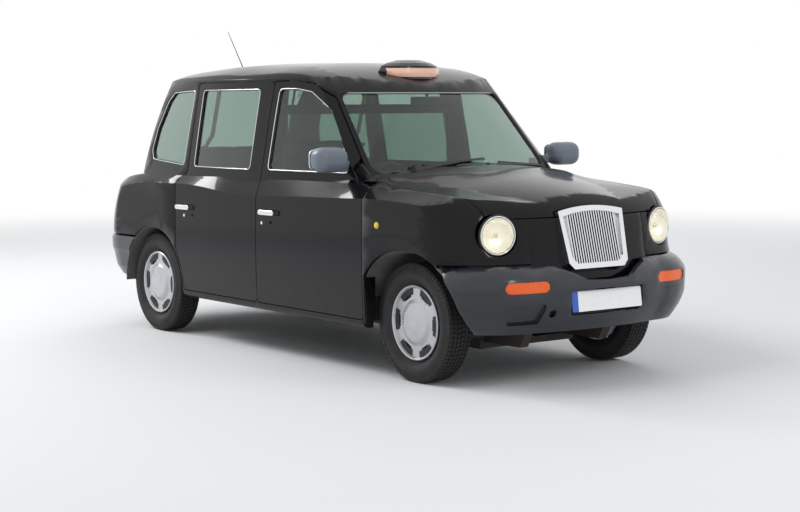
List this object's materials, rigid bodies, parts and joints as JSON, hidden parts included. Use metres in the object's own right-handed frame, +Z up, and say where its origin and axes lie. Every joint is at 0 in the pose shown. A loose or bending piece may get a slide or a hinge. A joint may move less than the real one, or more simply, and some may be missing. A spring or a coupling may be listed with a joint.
{
  "type": "taxi cab",
  "caption": "A black purpose-built city taxi cab with a blank roof sign, chrome grille, round headlamps, four doors and steel wheels",
  "frame": {"origin": "on the ground under the centre of the car's overall box", "axes": "+X forward, +Y to the car's left, +Z up"},
  "size_m": [4.5798, 2.032, 2.0961],
  "materials": {
    "black_paint": "gloss black coachwork paint",
    "tinted_glass": "clear glass with a light green tint",
    "dark_steel": "dull black underbody paint",
    "bumper_plastic": "satin dark grey moulding",
    "black_plastic": "grained black plastic",
    "grey_plastic": "satin blue-grey moulding",
    "amber_lens": "clear orange lens",
    "red_lens": "clear red lens",
    "yellow_plastic": "bright yellow moulding",
    "lamp_glass": "clear lamp glass",
    "chrome": "bright chrome plate",
    "white_plate": "white reflective sheet",
    "sign_plastic": "dark case with a pale orange lens",
    "seat_fabric": "dark grey woven cloth",
    "silver_trim": "silver paint on wheel and trim",
    "tyre_rubber": "black tyre rubber"
  },
  "bodies": {
    "body": {"aerial": "black_plastic", "arch_liners": "black_plastic", "body_sides": "black_paint", "chassis_frame": "dark_steel", "dashboard": "black_plastic", "driver_seat": "seat_fabric", "engine_block": "dark_steel", "exhaust": "dark_steel", "floor_pan": "dark_steel", "front_bumper": "bumper_plastic", "front_plate": "white_plate", "front_suspension": "dark_steel", "front_wings": "black_paint", "grab_handles": "yellow_plastic", "grille": "chrome", "headlamps": "lamp_glass", "indicators": "amber_lens", "interior_mirror": "black_plastic", "partition": "black_plastic", "rear_axle": "dark_steel", "rear_bench": "seat_fabric", "rear_bumper": "bumper_plastic", "rear_glass": "tinted_glass", "rear_panel": "black_paint", "roof": "black_paint", "roof_sign": "sign_plastic", "scuttle": "black_plastic", "tail_lamps": "red_lens", "tip_up_seats": "seat_fabric", "windscreen": "tinted_glass", "wipers": "black_plastic"},
    "door_front_right": {"door_front_right": "black_paint", "glass_front_right": "tinted_glass", "mirror_right": "grey_plastic", "handle_front_right": "chrome"},
    "door_front_left": {"door_front_left": "black_paint", "glass_front_left": "tinted_glass", "mirror_left": "grey_plastic", "handle_front_left": "chrome"},
    "door_rear_right": {"door_rear_right": "black_paint", "glass_rear_right": "tinted_glass", "handle_rear_right": "chrome"},
    "door_rear_left": {"door_rear_left": "black_paint", "glass_rear_left": "tinted_glass", "handle_rear_left": "chrome"},
    "bonnet": {"bonnet": "black_paint"},
    "boot_lid": {"boot_lid": "black_paint", "rear_plate": "white_plate"},
    "steering_wheel": {"steering_wheel": "black_plastic"},
    "knuckle_right": {"knuckle_right": "dark_steel"},
    "knuckle_left": {"knuckle_left": "dark_steel"},
    "wheel_front_right": {"wheel_front_right": "silver_trim", "tyre_front_right": "tyre_rubber"},
    "wheel_front_left": {"wheel_front_left": "silver_trim", "tyre_front_left": "tyre_rubber"},
    "wheel_rear_right": {"wheel_rear_right": "silver_trim", "tyre_rear_right": "tyre_rubber"},
    "wheel_rear_left": {"wheel_rear_left": "silver_trim", "tyre_rear_left": "tyre_rubber"}
  },
  "joints": [
    {"name": "door_front_right_hinge", "type": "hinge", "parent": "body", "child": "door_front_right", "pos_m": [1.1625, -0.878, 0.7], "axis": [0, 0, 1], "range_deg": [0, 70]},
    {"name": "door_front_left_hinge", "type": "hinge", "parent": "body", "child": "door_front_left", "pos_m": [1.1625, 0.878, 0.7], "axis": [0, 0, -1], "range_deg": [0, 70]},
    {"name": "door_rear_right_hinge", "type": "hinge", "parent": "body", "child": "door_rear_right", "pos_m": [0.0095, -0.878, 0.7], "axis": [0, 0, 1], "range_deg": [0, 80]},
    {"name": "door_rear_left_hinge", "type": "hinge", "parent": "body", "child": "door_rear_left", "pos_m": [0.0095, 0.878, 0.7], "axis": [0, 0, -1], "range_deg": [0, 80]},
    {"name": "bonnet_hinge", "type": "hinge", "parent": "body", "child": "bonnet", "pos_m": [1.126, 0, 1.204], "axis": [0, -1, 0], "range_deg": [0, 55]},
    {"name": "boot_hinge", "type": "hinge", "parent": "body", "child": "boot_lid", "pos_m": [-2.03, 0, 1.08], "axis": [0, 1, 0], "range_deg": [0, 80]},
    {"name": "steering_column", "type": "hinge", "parent": "body", "child": "steering_wheel", "pos_m": [0.64, -0.37, 1.04], "axis": [-0.848, 0, 0.5299], "range_deg": [-494, 494]},
    {"name": "steer_right", "type": "hinge", "parent": "body", "child": "knuckle_right", "pos_m": [1.505, -0.608, 0.339], "axis": [0, 0, 1], "range_deg": [-38, 38]},
    {"name": "steer_left", "type": "hinge", "parent": "body", "child": "knuckle_left", "pos_m": [1.505, 0.608, 0.339], "axis": [0, 0, 1], "range_deg": [-38, 38]},
    {"name": "front_right_wheel_spin", "type": "hinge", "parent": "knuckle_right", "child": "wheel_front_right", "pos_m": [1.505, -0.69, 0.339], "axis": [0, 1, 0], "continuous": true},
    {"name": "front_left_wheel_spin", "type": "hinge", "parent": "knuckle_left", "child": "wheel_front_left", "pos_m": [1.505, 0.69, 0.339], "axis": [0, 1, 0], "continuous": true},
    {"name": "rear_right_wheel_spin", "type": "hinge", "parent": "body", "child": "wheel_rear_right", "pos_m": [-1.381, -0.738, 0.339], "axis": [0, 1, 0], "continuous": true},
    {"name": "rear_left_wheel_spin", "type": "hinge", "parent": "body", "child": "wheel_rear_left", "pos_m": [-1.381, 0.738, 0.339], "axis": [0, 1, 0], "continuous": true}
  ],
  "couplings": [
    {"joint": "steer_right", "follows": "steering_column", "ratio": 0.076923},
    {"joint": "steer_left", "follows": "steering_column", "ratio": 0.076923}
  ]
}
